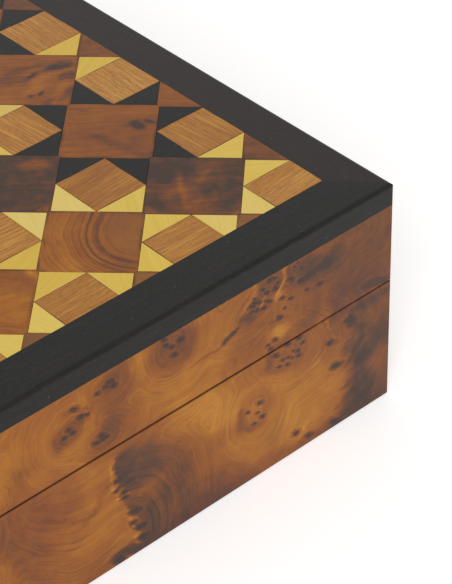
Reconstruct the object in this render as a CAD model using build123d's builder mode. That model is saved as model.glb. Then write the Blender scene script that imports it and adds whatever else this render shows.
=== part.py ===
"""Chess box with a hinged lid: mitred burl walls, a marquetry top framed in ebony, and two brass butt hinges.

Millimetres. X runs along the front, +Y goes from the front to the hinged back, and +Z is up. The origin lies
on the underside, at the middle of the box. The walls were glued up as one closed box and sawn apart at the
seam, so the lid's walls and the base's walls share every outer size.
"""

import os
from itertools import product
from math import radians, sqrt, tan

from build123d import *

# Marquetry lattice
board_squares = 8  # straight-grain squares along each side of the top
pitch = 36.0  # from one straight-grain square to the next
square_side = 17.4
front_trim = 4.5  # cut off the front row where the panel was sized to its frame
tile_thickness = 1.5
joint_line = 0.12  # width of a glue line between two tiles

# Ebony frame round the marquetry
side_border = 13.0
front_border = 14.2
strip_height = 7.1
edge_radius = 1.2  # rounding along the top edge

# Case
base_height = 41.9  # underside to the middle of the seam
lid_height = 33.3  # middle of the seam to the top
seam_gap = 0.4
wall = 10.0
corner_radius = 0.5  # on the upright corners
edge_ease = 0.15  # small bevel on the sawn rims
foot_ease = 0.4  # small bevel round the underside

# Boards let into the walls
bottom_thickness = 4.0
top_thickness = 4.0
rebate_width = 5.0
board_fit = 0.1  # play of a board in its rebate, on each side

# Inside of the base
liner_thickness = 3.0
lip_height = 5.0  # how far the liners stand above the rim, to guide the lid
lip_clearance = 0.4
lip_draft = 0.5  # how much the lip narrows towards its top
divider_thickness = 6.0
divider_drop = 3.0  # from the rim down to the divider's top
dado_depth = 1.5
dado_fit = 0.1
baize_thickness = 1.0
baize_margin = 0.4

# Hinges
hinge_spacing = 190.0
hinge_length = 30.0
knuckle_count = 5
knuckle_gap = 0.3
barrel_radius = 2.0
barrel_room = 0.5  # from a knuckle to the wood around it
leaf_thickness = 1.0
leaf_width = 7.0
pin_inset = 2.4  # from the back face to the pin's axis
pin_radius = 0.8
pin_fit = 0.05
pin_head_radius = 1.3
pin_head_height = 0.6
lid_opening = 100.0  # degrees, where the bevelled back edges come together
stop_margin = 3.0  # degrees that each bevel is cut deeper than half of the opening

# Hinge screws
screw_spacing = 18.0
screw_inset = 4.75  # from the pin's axis to the row of screws
screw_length = 7.0
screw_radius = 0.8
screw_head_radius = 1.5
screw_tip = 1.6
screw_fit = 0.05
slot_width = 0.4
slot_depth = 0.35

# Sizes that follow from these
burls_per_side = board_squares - 1
lattice_span = burls_per_side * pitch
panel_width = lattice_span + square_side
panel_depth = panel_width - front_trim
box_width = panel_width + 2 * side_border
box_depth = panel_depth + 2 * front_border
box_height = base_height + lid_height
base_rim = base_height - seam_gap / 2
lid_rim = base_height + seam_gap / 2
strip_bottom = box_height - strip_height
ceiling = strip_bottom - top_thickness
tile_bed = box_height - tile_thickness
inner_width = box_width - 2 * wall
inner_depth = box_depth - 2 * wall
room_width = inner_width - 2 * liner_thickness
room_depth = inner_depth - 2 * liner_thickness
divider_top = base_rim - divider_drop
pin_y = box_depth / 2 - pin_inset
pin_z = base_height
bevel_angle = lid_opening / 2 + stop_margin
knuckle_length = hinge_length / knuckle_count
hinge_centres = (-hinge_spacing / 2, hinge_spacing / 2)
down, up = -1, 1

os.makedirs("parts", exist_ok=True)


def save(piece, name):
    """Labels a finished piece and writes it."""
    piece.part.label = name
    export_step(piece.part, f"parts/{name}.step")


# Mitred frames


def frame_sides(width, depth):
    """Seat and length of each rail of a frame: x along the rail, y inward from its outer face, z up."""
    return {
        "front": (Plane((0, -depth / 2, 0), x_dir=(1, 0, 0), z_dir=(0, 0, 1)), width),
        "right": (Plane((width / 2, 0, 0), x_dir=(0, 1, 0), z_dir=(0, 0, 1)), depth),
        "back": (Plane((0, depth / 2, 0), x_dir=(-1, 0, 0), z_dir=(0, 0, 1)), width),
        "left": (Plane((-width / 2, 0, 0), x_dir=(0, -1, 0), z_dir=(0, 0, 1)), depth),
    }


def mitred_rail(seat, length, section, rail_width, neighbour_width):
    """A section drawn as (inward, up), run along its seat and cut to the mitres at both ends."""
    section_plane = Plane(seat.origin, x_dir=seat.y_dir, z_dir=seat.x_dir)
    with BuildPart() as rail:
        with BuildSketch(section_plane):
            add(section.sketch)
        extrude(amount=length / 2, both=True)
        with BuildSketch(seat):
            Polygon(
                (-length / 2, 0),
                (length / 2, 0),
                (length / 2 - neighbour_width, rail_width),
                (neighbour_width - length / 2, rail_width),
            )
        extrude(amount=box_height, mode=Mode.INTERSECT)
    return rail


def back_bevel(direction):
    """What the bevel takes off one rim behind the pin, down on the base and up on the lid."""
    rim = pin_z + direction * seam_gap / 2
    beyond = 2 * pin_inset
    with BuildPart() as bevel:
        with BuildSketch(Plane.YZ):
            Polygon(
                (pin_y, rim),
                (pin_y + beyond, rim),
                (pin_y + beyond, rim + direction * beyond * tan(radians(bevel_angle))),
            )
        extrude(amount=box_width, both=True)
    return bevel


def screw_points(centres):
    """Places of the hinge screws, two to a leaf."""
    offsets = (-screw_spacing / 2, screw_spacing / 2)
    return [(x + offset, pin_y - screw_inset) for x in centres for offset in offsets]


def hinge_seats(direction):
    """What the hinges take out of one rim: leaf beds, room for the knuckles and pilot holes."""
    rim = Plane.XY.offset(pin_z + direction * seam_gap / 2)
    knuckle_room = barrel_radius + barrel_room
    room_length = hinge_length + 2 * (pin_head_height + barrel_room)
    with BuildPart() as seats:
        with BuildSketch(rim):
            with Locations(*[(x, pin_y) for x in hinge_centres]):
                Rectangle(
                    hinge_length + 2 * screw_fit,
                    leaf_width + screw_fit,
                    align=(Align.CENTER, Align.MAX),
                )
        extrude(amount=direction * leaf_thickness)
        with BuildSketch(rim):
            with Locations(*[(x, pin_y - knuckle_room) for x in hinge_centres]):
                Rectangle(room_length, 2 * knuckle_room + pin_inset, align=(Align.CENTER, Align.MIN))
        extrude(amount=direction * (knuckle_room - seam_gap / 2))
        with BuildSketch(rim):
            with Locations(*screw_points(hinge_centres)):
                Circle(screw_radius + screw_fit)
        extrude(amount=direction * (screw_length + screw_fit))
    return seats


# Outline of the whole box, whose upright corners are slightly rounded
with BuildPart() as outline:
    with BuildSketch():
        RectangleRounded(box_width, box_depth, corner_radius)
    extrude(amount=box_height)

# Burl walls of the base, rebated for the bottom board
with BuildSketch() as base_wall_section:
    Polygon(
        (foot_ease, 0),
        (wall - rebate_width, 0),
        (wall - rebate_width, bottom_thickness),
        (wall, bottom_thickness),
        (wall, base_rim),
        (edge_ease, base_rim),
        (0, base_rim - edge_ease),
        (0, foot_ease),
    )

# Burl walls of the lid, rebated for the top board
with BuildSketch() as lid_wall_section:
    Polygon(
        (edge_ease, lid_rim),
        (wall, lid_rim),
        (wall, ceiling),
        (wall - rebate_width, ceiling),
        (wall - rebate_width, strip_bottom),
        (0, strip_bottom),
        (0, lid_rim + edge_ease),
    )

for side, (seat, length) in frame_sides(box_width, box_depth).items():
    for half, section, direction in (("base", base_wall_section, down), ("lid", lid_wall_section, up)):
        rail = mitred_rail(seat, length, section, wall, wall)
        with BuildPart() as burl_wall:
            add(rail.part)
            add(outline.part, mode=Mode.INTERSECT)
            add(back_bevel(direction).part, mode=Mode.SUBTRACT)
            if side == "back":
                add(hinge_seats(direction).part, mode=Mode.SUBTRACT)
        save(burl_wall, f"{half}_{side}_wall")

# Ebony strips that stand on the lid's walls and frame the marquetry, with a rounded top edge
with BuildSketch() as side_strip_section:
    Polygon((0, strip_bottom), (side_border, strip_bottom), (side_border, box_height), (0, box_height))
    fillet(side_strip_section.vertices().sort_by(Axis.Y)[-2:].sort_by(Axis.X)[0], edge_radius)

with BuildSketch() as front_strip_section:
    Polygon((0, strip_bottom), (front_border, strip_bottom), (front_border, box_height), (0, box_height))
    fillet(front_strip_section.vertices().sort_by(Axis.Y)[-2:].sort_by(Axis.X)[0], edge_radius)

for side, (seat, length) in frame_sides(box_width, box_depth).items():
    if side in ("front", "back"):
        rail = mitred_rail(seat, length, front_strip_section, front_border, side_border)
    else:
        rail = mitred_rail(seat, length, side_strip_section, side_border, front_border)
    with BuildPart() as ebony_strip:
        add(rail.part)
        add(outline.part, mode=Mode.INTERSECT)
    save(ebony_strip, f"ebony_{side}_strip")

# Bottom board, flush with the underside
with BuildPart() as bottom_board:
    with BuildSketch():
        Rectangle(
            inner_width + 2 * (rebate_width - board_fit),
            inner_depth + 2 * (rebate_width - board_fit),
        )
    extrude(amount=bottom_thickness)
save(bottom_board, "bottom_board")

# Top board of the lid, flush with the top of the lid's walls
with BuildPart() as lid_top_board:
    with BuildSketch(Plane.XY.offset(ceiling)):
        Rectangle(
            inner_width + 2 * (rebate_width - board_fit),
            inner_depth + 2 * (rebate_width - board_fit),
        )
    extrude(amount=top_thickness)
save(lid_top_board, "lid_top_board")

# Liners of the base: the front and side ones stand above the rim as a lip, the back one ends at the rim
with BuildSketch() as lipped_liner_section:
    Polygon(
        (0, bottom_thickness),
        (liner_thickness, bottom_thickness),
        (liner_thickness, base_rim + lip_height),
        (lip_clearance + lip_draft, base_rim + lip_height),
        (lip_clearance, base_rim),
        (0, base_rim - lip_clearance),
    )

with BuildSketch() as plain_liner_section:
    Polygon(
        (0, bottom_thickness),
        (liner_thickness, bottom_thickness),
        (liner_thickness, base_rim),
        (0, base_rim),
    )

for side, (seat, length) in frame_sides(inner_width, inner_depth).items():
    section = plain_liner_section if side == "back" else lipped_liner_section
    rail = mitred_rail(seat, length, section, liner_thickness, liner_thickness)
    with BuildPart() as liner:
        add(rail.part)
        # The lips end where the back liner starts, clear of the lid's back wall.
        with BuildSketch(Plane.XY.offset(base_rim)):
            with Locations((0, inner_depth / 2)):
                Rectangle(inner_width, 2 * liner_thickness)
        extrude(amount=lip_height, mode=Mode.SUBTRACT)
        # The divider's ends stand in stopped grooves in the front and back liners.
        with BuildSketch(Plane.XY.offset(bottom_thickness)):
            Rectangle(divider_thickness + 2 * dado_fit, room_depth + 2 * dado_depth)
        extrude(amount=divider_top - bottom_thickness + dado_fit, mode=Mode.SUBTRACT)
    save(liner, f"{side}_liner")

# Divider between the two compartments
with BuildPart() as divider:
    with BuildSketch(Plane.XY.offset(bottom_thickness)):
        Rectangle(divider_thickness, room_depth + 2 * (dado_depth - dado_fit))
    extrude(amount=divider_top - bottom_thickness)
    top_edges = divider.edges().filter_by(Axis.Y).group_by(Axis.Z)[-1]
    fillet(top_edges, divider_thickness / 4)
save(divider, "divider")

# Baize on the floor of each compartment and under the lid's top board
floor_width = (room_width - divider_thickness) / 2
floor_centre = (floor_width + divider_thickness) / 2
for side, x in (("left", -floor_centre), ("right", floor_centre)):
    with BuildPart() as floor_baize:
        with BuildSketch(Plane.XY.offset(bottom_thickness)):
            with Locations((x, 0)):
                Rectangle(floor_width - 2 * baize_margin, room_depth - 2 * baize_margin)
        extrude(amount=baize_thickness)
    save(floor_baize, f"{side}_floor_baize")

with BuildPart() as lid_baize:
    with BuildSketch(Plane.XY.offset(ceiling)):
        Rectangle(inner_width - 2 * baize_margin, inner_depth - 2 * baize_margin)
    extrude(amount=-baize_thickness)
save(lid_baize, "lid_baize")

# Marquetry. The lattice keeps its pitch; the panel ends level with the outer squares at the sides and back,
# and the front row is trimmed.
with BuildPart() as marquetry_backing:
    with BuildSketch(Plane.XY.offset(strip_bottom)):
        Rectangle(panel_width, panel_depth)
    extrude(amount=tile_bed - strip_bottom)
save(marquetry_backing, "marquetry_backing")

lattice = Plane((0, -front_trim / 2, tile_bed))
diamond_reach = square_side - joint_line / sqrt(2)  # where a star's outer edges, |x| + |y|, would end


def lattice_point(column, row):
    """Centre of a straight-grain square; halves give the burl squares between them."""
    return (column * pitch - lattice_span / 2, row * pitch - lattice_span / 2)


# Inner edge of the ebony frame, which trims the outer tiles
with BuildSketch() as panel_outline:
    with Locations((0, front_trim / 2)):
        Rectangle(panel_width - joint_line, panel_depth - joint_line)

with BuildPart() as straight_grain_squares:
    with BuildSketch(lattice):
        with GridLocations(pitch, pitch, board_squares, board_squares):
            Rectangle(square_side - joint_line, square_side - joint_line)
        add(panel_outline.sketch, mode=Mode.INTERSECT)
    extrude(amount=tile_thickness)
save(straight_grain_squares, "straight_grain_squares")

# A burl square stands on its corner between four straight-grain squares. Its corners are cut off where it
# meets the next burl square.
burl_half = (pitch - joint_line) / 2
burl_reach = pitch - square_side - joint_line / sqrt(2)
burl_step = burl_reach - burl_half
burl_outline = [
    (burl_half, burl_step),
    (burl_step, burl_half),
    (-burl_step, burl_half),
    (-burl_half, burl_step),
    (-burl_half, -burl_step),
    (-burl_step, -burl_half),
    (burl_step, -burl_half),
    (burl_half, -burl_step),
]

with BuildPart() as burl_squares:
    with BuildSketch(lattice):
        with GridLocations(pitch, pitch, burls_per_side, burls_per_side):
            Polygon(*burl_outline)
    extrude(amount=tile_thickness)
save(burl_squares, "burl_squares")

before, after = -0.5, board_squares - 0.5
edge_points = []
for place in range(burls_per_side):
    middle = place + 0.5
    edge_points += [(before, middle), (after, middle), (middle, before), (middle, after)]

with BuildPart() as burl_edge_pieces:
    with BuildSketch(lattice):
        with Locations(*[lattice_point(column, row) for column, row in edge_points]):
            Polygon(*burl_outline)
        add(panel_outline.sketch, mode=Mode.INTERSECT)
    extrude(amount=tile_thickness)
save(burl_edge_pieces, "burl_edge_pieces")

# Each straight-grain square carries a triangle on every side. Eight of them make a star round a burl square,
# dark round the burls of even columns and odd rows, pale round the others and along the border.
triangle_base = (square_side + joint_line) / 2
triangle_outline = [
    (triangle_base, diamond_reach - triangle_base),
    (triangle_base, triangle_base - diamond_reach),
    (diamond_reach, 0),
]
quarter_turns = {0: (1, 0), 90: (0, 1), 180: (-1, 0), 270: (0, -1)}


def star_of(column, row, step_x, step_y):
    """Column and row of the burl square whose star holds the triangle on this side of a square."""
    columns = {1: [column], -1: [column - 1], 0: [column - 1, column]}[step_x]
    rows = {1: [row], -1: [row - 1], 0: [row - 1, row]}[step_y]
    return next(star for star in product(columns, rows) if sum(star) % 2 == 1)


triangle_places = {True: [], False: []}
for column, row in product(range(board_squares), repeat=2):
    for turn, step in quarter_turns.items():
        star_column, star_row = star_of(column, row, *step)
        on_board = 0 <= star_column < burls_per_side and 0 <= star_row < burls_per_side
        place = Location((*lattice_point(column, row), 0), (0, 0, turn))
        triangle_places[on_board and star_column % 2 == 0].append(place)

for name, dark in (("ebony_triangles", True), ("lemonwood_triangles", False)):
    with BuildPart() as triangles:
        with BuildSketch(lattice):
            with Locations(*triangle_places[dark]):
                Polygon(*triangle_outline)
            add(panel_outline.sketch, mode=Mode.INTERSECT)
        extrude(amount=tile_thickness)
    save(triangles, name)

# Hinges


def knuckle_starts(centre, direction):
    """Where one leaf's knuckles start along X: the base leaf has the odd ones, the lid leaf the even ones."""
    first = 0 if direction == down else 1
    start = centre - hinge_length / 2
    return [start + index * knuckle_length for index in range(first, knuckle_count, 2)]


def hinge_leaf(centre, direction):
    """A leaf in its rim, with its knuckles round the pin's axis."""
    face = pin_z + direction * seam_gap / 2
    axis_point = (pin_y, pin_z)
    with BuildPart() as leaf:
        with BuildSketch(Plane.XY.offset(face)):
            with Locations((centre, pin_y)):
                Rectangle(hinge_length, leaf_width, align=(Align.CENTER, Align.MAX))
        extrude(amount=direction * leaf_thickness)
        for start in knuckle_starts(centre, -direction):
            with BuildSketch(Plane.YZ.offset(start - knuckle_gap / 2)):
                with Locations(axis_point):
                    Circle(barrel_radius + knuckle_gap)
            extrude(amount=knuckle_length + knuckle_gap, mode=Mode.SUBTRACT)
        for start in knuckle_starts(centre, direction):
            with BuildSketch(Plane.YZ.offset(start + knuckle_gap / 2)):
                with Locations(axis_point):
                    Circle(barrel_radius)
            extrude(amount=knuckle_length - knuckle_gap)
        with BuildSketch(Plane.YZ.offset(centre)):
            with Locations(axis_point):
                Circle(pin_radius + pin_fit)
        extrude(amount=hinge_length, both=True, mode=Mode.SUBTRACT)
        with Locations(*[Plane((x, y, face), z_dir=(0, 0, -direction)) for x, y in screw_points((centre,))]):
            CounterSinkHole(
                screw_radius + screw_fit,
                screw_head_radius + screw_fit,
                depth=2 * leaf_thickness,
                counter_sink_angle=90,
            )
    return leaf


for side, centre in zip(("left", "right"), hinge_centres):
    save(hinge_leaf(centre, down), f"{side}_hinge_base_leaf")
    save(hinge_leaf(centre, up), f"{side}_hinge_lid_leaf")
    with BuildPart() as hinge_pin:
        with BuildSketch(Plane.YZ.offset(centre)):
            with Locations((pin_y, pin_z)):
                Circle(pin_radius)
        extrude(amount=hinge_length / 2, both=True)
        for end in (-1, 1):
            with BuildSketch(Plane.YZ.offset(centre + end * hinge_length / 2)):
                with Locations((pin_y, pin_z)):
                    Circle(pin_head_radius)
            extrude(amount=end * pin_head_height)
        end_circles = hinge_pin.edges().filter_by(GeomType.CIRCLE).group_by(Axis.X)
        fillet(end_circles[0] + end_circles[-1], pin_head_height * 0.6)
    save(hinge_pin, f"{side}_hinge_pin")

# Slotted countersunk screws of the hinges
with BuildPart() as screw:
    with BuildSketch(Plane.XZ):
        Polygon(
            (0, 0),
            (screw_head_radius, 0),
            (screw_radius, screw_radius - screw_head_radius),
            (screw_radius, screw_tip - screw_length),
            (0, -screw_length),
        )
    revolve(axis=Axis.Z)
    with BuildSketch():
        Rectangle(2 * screw_head_radius, slot_width)
    extrude(amount=-slot_depth, mode=Mode.SUBTRACT)

for half, direction in (("base", down), ("lid", up)):
    face = pin_z + direction * seam_gap / 2
    heads = [Plane((x, y, face), z_dir=(0, 0, -direction)) for x, y in screw_points(hinge_centres)]
    with BuildPart() as hinge_screws:
        with Locations(*heads):
            add(screw.part)
    save(hinge_screws, f"{half}_hinge_screws")

print(f"box {box_width:.1f} x {box_depth:.1f} x {box_height:.1f}")
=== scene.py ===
# %% [markdown]
# # A chess box with a hinged lid
#
# The box is a case of solid burl with mitred corners, sawn apart at the seam into a base and a lid. Its top
# is a marquetry panel: straight-grained squares, burl squares set on their corners, and stars of pale
# lemonwood and black ebony triangles between them, all framed by ebony strips. Inside are plain wooden
# liners, a divider and green baize, and two brass butt hinges join the lid to the base.
#
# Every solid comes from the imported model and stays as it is. This notebook gives each wood its figure,
# makes the cloth that lines the box, and sets the lights and the camera.

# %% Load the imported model
from math import cos, pi, radians, sin, sqrt

import bpy
import numpy as np
from mathutils import Matrix, Vector


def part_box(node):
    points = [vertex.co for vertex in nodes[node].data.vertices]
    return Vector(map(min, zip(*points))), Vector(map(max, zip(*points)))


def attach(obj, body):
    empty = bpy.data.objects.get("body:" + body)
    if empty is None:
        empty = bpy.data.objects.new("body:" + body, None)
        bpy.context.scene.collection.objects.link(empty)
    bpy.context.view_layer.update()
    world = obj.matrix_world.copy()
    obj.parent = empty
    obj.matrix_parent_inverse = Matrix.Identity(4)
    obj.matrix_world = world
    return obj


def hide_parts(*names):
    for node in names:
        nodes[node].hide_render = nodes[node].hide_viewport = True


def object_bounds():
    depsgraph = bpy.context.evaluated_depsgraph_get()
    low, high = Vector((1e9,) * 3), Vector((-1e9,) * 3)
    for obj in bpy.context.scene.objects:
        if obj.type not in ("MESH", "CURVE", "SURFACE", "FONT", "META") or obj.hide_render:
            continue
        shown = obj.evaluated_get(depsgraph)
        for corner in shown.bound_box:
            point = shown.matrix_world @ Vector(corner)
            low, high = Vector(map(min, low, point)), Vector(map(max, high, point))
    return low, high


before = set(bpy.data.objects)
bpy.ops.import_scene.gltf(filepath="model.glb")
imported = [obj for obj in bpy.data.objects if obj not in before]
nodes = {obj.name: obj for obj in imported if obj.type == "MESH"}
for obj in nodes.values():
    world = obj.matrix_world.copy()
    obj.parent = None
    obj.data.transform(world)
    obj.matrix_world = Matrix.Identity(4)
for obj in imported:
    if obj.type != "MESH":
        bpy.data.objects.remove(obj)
cad_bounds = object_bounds()
lowest, highest = (Vector(corner) for corner in cad_bounds)
box_width, box_depth, box_height = highest - lowest
print(f"{len(nodes)} nodes, {box_width:.4f} x {box_depth:.4f} x {box_height:.4f} m")

# %% [markdown]
# ## Camera
#
# A long lens, about two thirds of a metre away, looks down on the front right corner of the lid. The camera
# could be aimed with a Track To constraint at an empty, but three turns written out are easier to repeat:
# roll about the line of sight, tilt up from straight down, then turn about the vertical.

# %% Camera
camera_place = Vector((-0.21526, -0.49378, 0.43931))
camera_turn, camera_tilt, camera_roll = (radians(angle) for angle in (-41.007, 51.336, -1.627))

lens = bpy.data.cameras.new("camera")
lens.lens = 141.12
lens.sensor_width = 36.0
lens.sensor_fit = "AUTO"
lens.clip_start = 0.01
camera = bpy.data.objects.new("camera", lens)
bpy.context.scene.collection.objects.link(camera)
turning = Matrix.Rotation(camera_turn, 4, "Z") @ Matrix.Rotation(camera_tilt, 4, "X")
camera.matrix_world = Matrix.Translation(camera_place) @ turning @ Matrix.Rotation(camera_roll, 4, "Z")
bpy.context.scene.camera = camera
print(f"camera {camera_place.length:.3f} m from the middle of the box's underside")

# %% [markdown]
# ## Short calls for shader nodes
#
# A wood's figure takes dozens of nodes. They could be placed by hand in the editor, but in a script it
# reads better to write each as one call, the way a formula is written, and to pass the output on by name.

# %% Node helpers
noise_middle = (0.5, 0.5, 0.5)


class Tree:
    """Adds nodes to one node tree. Values are numbers, tuples or other nodes' outputs."""

    def __init__(self, tree):
        self.tree = tree

    def add(self, kind, settings, values, output=0):
        """Adds a node with its settings, feeds the inputs that it shows in order, and returns one output."""
        node = self.tree.nodes.new(kind)
        for name, setting in settings.items():
            setattr(node, name, setting)
        sockets = [socket for socket in node.inputs if socket.enabled]
        if isinstance(values, dict):
            by_name = {socket.name: socket for socket in reversed(sockets)}
            pairs = [(by_name[name], value) for name, value in values.items()]
        else:
            pairs = zip(sockets, values)
        for socket, value in pairs:
            self.feed(socket, value)
        return [socket for socket in node.outputs if socket.enabled][output]

    def feed(self, socket, value):
        """Links an output to a socket, or sets the socket's own value."""
        if isinstance(value, bpy.types.NodeSocket):
            self.tree.links.new(value, socket)
        elif value is not None:
            socket.default_value = value

    def math(self, operation, *values, clamp=False):
        return self.add("ShaderNodeMath", {"operation": operation, "use_clamp": clamp}, values)

    def plus(self, a, b):
        return self.math("ADD", a, b)

    def minus(self, a, b):
        return self.math("SUBTRACT", a, b)

    def times(self, a, b):
        return self.math("MULTIPLY", a, b)

    def times_plus(self, a, b, c, clamp=False):
        """a times b, plus c."""
        return self.math("MULTIPLY_ADD", a, b, c, clamp=clamp)

    def vector(self, operation, *values):
        return self.add("ShaderNodeVectorMath", {"operation": operation}, values)

    def scaled(self, vector, factor):
        settings = {"operation": "SCALE"}
        return self.add("ShaderNodeVectorMath", settings, {"Vector": vector, "Scale": factor})

    def split(self, vector):
        """The three parts of a vector."""
        return tuple(self.add("ShaderNodeSeparateXYZ", {}, [vector]).node.outputs)

    def joined(self, x=0.0, y=0.0, z=0.0):
        return self.add("ShaderNodeCombineXYZ", {}, [x, y, z])

    def mapped(self, vector, place=(0, 0, 0), turn=(0, 0, 0), size=(1, 1, 1)):
        """A vector times a size, then turned, then moved to a place."""
        return self.add("ShaderNodeMapping", {}, [vector, place, turn, size])

    def turned(self, vector, angle):
        """A vector turned about z by an angle that may differ from point to point."""
        values = {"Vector": vector, "Angle": angle}
        return self.add("ShaderNodeVectorRotate", {"rotation_type": "Z_AXIS"}, values)

    def noise(self, vector, size, detail=2.0, roughness=0.5, along=None, output=0):
        """Noise with features of about this size, drawn along a fourth coordinate too where one is given."""
        values = {"Vector": vector, "Scale": 1.0 / size, "Detail": detail, "Roughness": roughness}
        settings = {"noise_dimensions": "3D"}
        if along is not None:
            settings = {"noise_dimensions": "4D"}
            values["W"] = along
        return self.add("ShaderNodeTexNoise", settings, values, output)

    def shift(self, vector, size, detail, amount):
        """A shift that wanders by up to half the amount either way, with turns of about this size."""
        off_middle = self.vector("SUBTRACT", self.noise(vector, size, detail, output=1), noise_middle)
        return self.scaled(off_middle, amount)

    def cells(self, vector, scale, randomness=1.0, dimensions="3D", output=0):
        """Voronoi cells: how far the nearest cell's point is, or with output=1 a chance colour per cell."""
        values = {"Vector": vector, "Scale": scale, "Randomness": randomness}
        return self.add("ShaderNodeTexVoronoi", {"voronoi_dimensions": dimensions}, values, output)

    def step(self, value, start, end, low=0.0, high=1.0):
        """Rises smoothly from low to high as the value goes from start to end, by 3t^2 - 2t^3."""
        settings = {"interpolation_type": "SMOOTHSTEP"}
        return self.add("ShaderNodeMapRange", settings, [value, start, end, low, high])

    def straight(self, value, start, end, low=0.0, high=1.0):
        """Goes in a straight line from low to high as the value goes from start to end."""
        return self.add("ShaderNodeMapRange", {}, [value, start, end, low, high])

    def mix(self, factor, a, b, blend="MIX"):
        settings = {"data_type": "RGBA", "blend_type": blend}
        return self.add("ShaderNodeMix", settings, [factor, a, b])

    def between(self, factor, a, b):
        return self.add("ShaderNodeMix", {"data_type": "FLOAT"}, [factor, a, b])

    def ramp(self, value, stops):
        """A run of colours, each at its place from 0 to 1."""
        out = self.add("ShaderNodeValToRGB", {}, [value])
        elements = out.node.color_ramp.elements
        while len(elements) < len(stops):
            elements.new(0.5)
        for element, (place, colour) in zip(elements, stops):
            element.position = place
            element.color = colour
        return out

    def group(self, name, values):
        """Places a node group, and returns its outputs by name."""
        node = self.tree.nodes.new("ShaderNodeGroup")
        node.node_tree = bpy.data.node_groups[name]
        for label, value in values.items():
            self.feed(node.inputs[label], value)
        return {socket.name: socket for socket in node.outputs}


def new_group(name, inputs, outputs):
    """An empty node group: its tree, its inputs by name, and its outputs' sockets by name."""
    tree = bpy.data.node_groups.new(name, "ShaderNodeTree")
    for label, (kind, value) in inputs.items():
        socket = tree.interface.new_socket(label, in_out="INPUT", socket_type=f"NodeSocket{kind}")
        socket.default_value = value
    for label, kind in outputs.items():
        tree.interface.new_socket(label, in_out="OUTPUT", socket_type=f"NodeSocket{kind}")
    entry = tree.nodes.new("NodeGroupInput")
    leave = tree.nodes.new("NodeGroupOutput")
    given = {socket.name: socket for socket in entry.outputs if socket.name}
    wanted = {socket.name: socket for socket in leave.inputs if socket.name}
    return Tree(tree), given, wanted


def shown(red, green, blue):
    """A colour written as a screen shows it, 0 to 255, in Blender's linear values: c / 12.92 up to 0.04045,
    and ((c + 0.055) / 1.055) ^ 2.4 above."""
    screen = np.array((red, green, blue)) / 255
    linear = np.where(screen > 0.04045, ((screen + 0.055) / 1.055) ** 2.4, screen / 12.92)
    return (*linear.tolist(), 1.0)


print(f"a middle grey of 128 on the screen is {shown(128, 128, 128)[0]:.3f} in linear values")

# %% [markdown]
# ## Short calls for materials
#
# Each wood, the brass, the felt and the glue is one material round one Principled BSDF. Patterns are
# measured in millimetres on Object coordinates, so that a size in a material is the size a ruler would
# give, and nothing has to be unwrapped. UV maps would do too, but the solids of the model have none.

# %% Materials and how they are given to nodes
mm = 1000


def new_material(name):
    """A material that holds one Principled BSDF: the material, its tree and the shader's sockets by name."""
    material = bpy.data.materials.new(name)
    material.use_nodes = True
    tree = material.node_tree
    tree.nodes.clear()
    shader = tree.nodes.new("ShaderNodeBsdfPrincipled")
    surface = tree.nodes.new("ShaderNodeOutputMaterial")
    tree.links.new(shader.outputs["BSDF"], surface.inputs["Surface"])
    return material, Tree(tree), shader.inputs


def millimetres(n, rows=((1, 0, 0), (0, 1, 0), (0, 0, 1))):
    """Object coordinates in millimetres, turned so that the rows are the new x, y and z."""
    own = n.add("ShaderNodeTexCoord", {}, {}, output=3)
    turn = tuple(Matrix(rows).to_euler())
    return n.mapped(own, (0, 0, 0), turn, (mm, mm, mm))


def bump(n, height, distance, strength=1.0):
    """A normal from a height in millimetres."""
    values = {"Strength": strength, "Distance": distance / mm, "Height": height}
    return n.add("ShaderNodeBump", {}, values)


def dress(material, *names):
    """Gives a material to CAD nodes."""
    for name in names:
        for slot in nodes[name].material_slots:
            slot.material = material
    print(f"{material.name}: {', '.join(names)}")


print(f"a {box_width * mm:.1f} mm wide box, measured in millimetres in every material")

# %% [markdown]
# ## What burl is made of
#
# A burl grows round hundreds of dormant buds. Sawn across, each bud is a small dark eye, the eyes come in
# clusters, and the growth lines bend round the clusters like contours round hills. An image of real veneer
# would show that, and so would a plain noise texture up to a point, but noise has no lines that go round
# anything. So the figure starts from one value, the distance to the nearest cluster: lines drawn along that
# distance circle the clusters and flow between them.

# %% The burl's figure
n, given, wanted = new_group(
    "burl_figure",
    {
        "Position": ("Vector", (0, 0, 0)),
        "Distance": ("Float", 20.0),
        "Eye": ("Float", 9.0),
        "Shade": ("Float", 0.4),
        "Ring strength": ("Float", 1.0),
    },
    {"Color": "Color"},
)
place, distance, eye, shade = (given[label] for label in ("Position", "Distance", "Eye", "Shade"))

# Growth lines: noise drawn along the distance and stretched far out along the lines. Where the noise crosses
# its middle value there is a thin dark line, and a finer noise makes the wood silky between the lines.
sway = n.minus(n.noise(place, 17.0, 1.0), 0.5)
wobble = n.minus(n.noise(place, 3.6, 1.0), 0.5)
flow = n.times_plus(sway, 3.4, n.times_plus(wobble, 0.6, distance))
broad = n.noise(n.scaled(place, 0.032), 1.0, 1.5, 0.5, along=n.times(flow, 0.50))
fine = n.noise(n.scaled(place, 0.085), 1.0, 3.0, 0.62, along=n.times(flow, 1.9))
ridge = n.math("ABSOLUTE", n.minus(broad, 0.5))
ring = n.step(ridge, 0.040, 0.004)
patchy = n.step(n.noise(place, 10.0, 2.0), 0.40, 0.62, 0.15, 1.0)

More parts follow.
